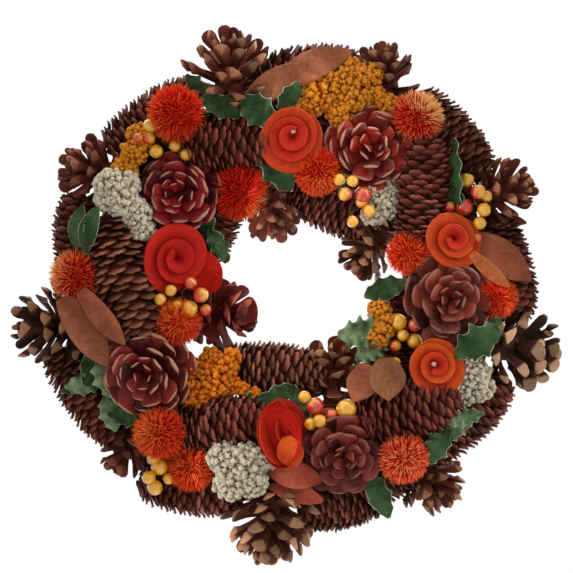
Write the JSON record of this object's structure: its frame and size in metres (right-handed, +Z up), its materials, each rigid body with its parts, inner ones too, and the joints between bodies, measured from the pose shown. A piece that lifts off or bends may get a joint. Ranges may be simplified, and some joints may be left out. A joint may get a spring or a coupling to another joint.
{
  "type": "harvest door wreath",
  "caption": "Round dried autumn wreath of pine and spruce cones, painted cone flowers, shaved-wood roses, bristle balls, berries and leaves on a twig ring with a wire hanger.",
  "frame": {"origin": "the seat of a door hook: the top of the twig ring's inner edge, on the ring's flat back, in the wreath's middle plane", "axes": "+Z up, the front faces -Y, the door is the plane y = 0 and +X is right as seen from the front"},
  "size_m": [0.3568, 0.0756, 0.3557],
  "materials": {
    "pine_scale": "matt dark red-brown woody scales with paler tan tips",
    "spruce_scale": "satin maroon-brown thin overlapping scales",
    "painted_crimson": "matt crimson and scarlet paint on cone scales, worn cream at the rims",
    "painted_rose_brown": "chalky brownish rose paint on cone scales",
    "dyed_wood_shaving": "satin dyed thin shaving, red to orange, with fine grain",
    "bristle": "dense matt bristles, red at the base and orange to tan at the tips",
    "cream_floret": "matt bleached cream florets",
    "ochre_floret": "matt ochre yellow florets",
    "berry_lacquer": "glossy lacquer, yellow turning orange and red on one side",
    "brown_leaf": "matt terracotta brown dried leaf",
    "salmon_leaf": "matt salmon red dried leaf",
    "green_leaf": "dusty matt green leaf with a pale edge",
    "bound_twig": "matt brown bark on thin bound twigs",
    "hanger_wire": "dull zinc-plated wire"
  },
  "bodies": {
    "wreath": {"berry_pick_1": "berry_lacquer", "berry_pick_11": "berry_lacquer", "berry_pick_2": "berry_lacquer", "berry_pick_4": "berry_lacquer", "berry_pick_5": "berry_lacquer", "berry_pick_7": "berry_lacquer", "berry_pick_9": "berry_lacquer", "bristle_ball_inner_11": "bristle", "bristle_ball_lower_7": "bristle", "bristle_ball_outer_1": "bristle", "bristle_ball_outer_11": "bristle", "bristle_ball_outer_9": "bristle", "bristle_ball_top_12": "bristle", "brown_leaf_9": "brown_leaf", "cream_flowers_10": "cream_floret", "cream_flowers_4": "cream_floret", "cream_flowers_6": "cream_floret", "green_leaf_4": "green_leaf", "hanger_staple_left": "hanger_wire", "hanger_staple_right": "hanger_wire", "painted_cone_1": "painted_crimson", "painted_cone_10": "painted_crimson", "painted_cone_3": "painted_rose_brown", "painted_cone_5": "painted_rose_brown", "painted_cone_8": "painted_crimson", "pine_cone_inner_12": "pine_scale", "pine_cone_inner_2": "pine_scale", "pine_cone_inner_5": "pine_scale", "pine_cone_inner_8": "pine_scale", "pine_cone_outer_1": "pine_scale", "pine_cone_outer_10": "pine_scale", "pine_cone_outer_12": "pine_scale", "pine_cone_outer_2": "pine_scale", "pine_cone_outer_3": "pine_scale", "pine_cone_outer_5": "pine_scale", "pine_cone_outer_6": "pine_scale", "pine_cone_outer_8": "pine_scale", "pine_cone_outer_9": "pine_scale", "salmon_leaf_6": "salmon_leaf", "spruce_cone_front_11": "spruce_scale", "spruce_cone_front_2": "spruce_scale", "spruce_cone_front_5": "spruce_scale", "spruce_cone_front_7": "spruce_scale", "spruce_cone_front_9": "spruce_scale", "spruce_cone_inner_6": "spruce_scale", "spruce_cone_outer_12": "spruce_scale", "spruce_cone_outer_2": "spruce_scale", "spruce_cone_outer_3": "spruce_scale", "spruce_cone_outer_4": "spruce_scale", "spruce_cone_outer_7": "spruce_scale", "spruce_cone_outer_9": "spruce_scale", "twig_ring": "bound_twig", "wood_rose_10": "dyed_wood_shaving", "wood_rose_12": "dyed_wood_shaving", "wood_rose_2": "dyed_wood_shaving", "wood_rose_4": "dyed_wood_shaving", "wood_rose_6": "dyed_wood_shaving", "yellow_flowers_12": "ochre_floret", "yellow_flowers_7": "ochre_floret"},
    "hanger": {"hanger_loop": "hanger_wire"}
  },
  "joints": [
    {"name": "hanger_swing", "type": "hinge", "parent": "wreath", "child": "hanger", "pos_m": [0, -0.0029, 0.0465], "axis": [1, 0, 0], "range_deg": [0, 180]}
  ]
}
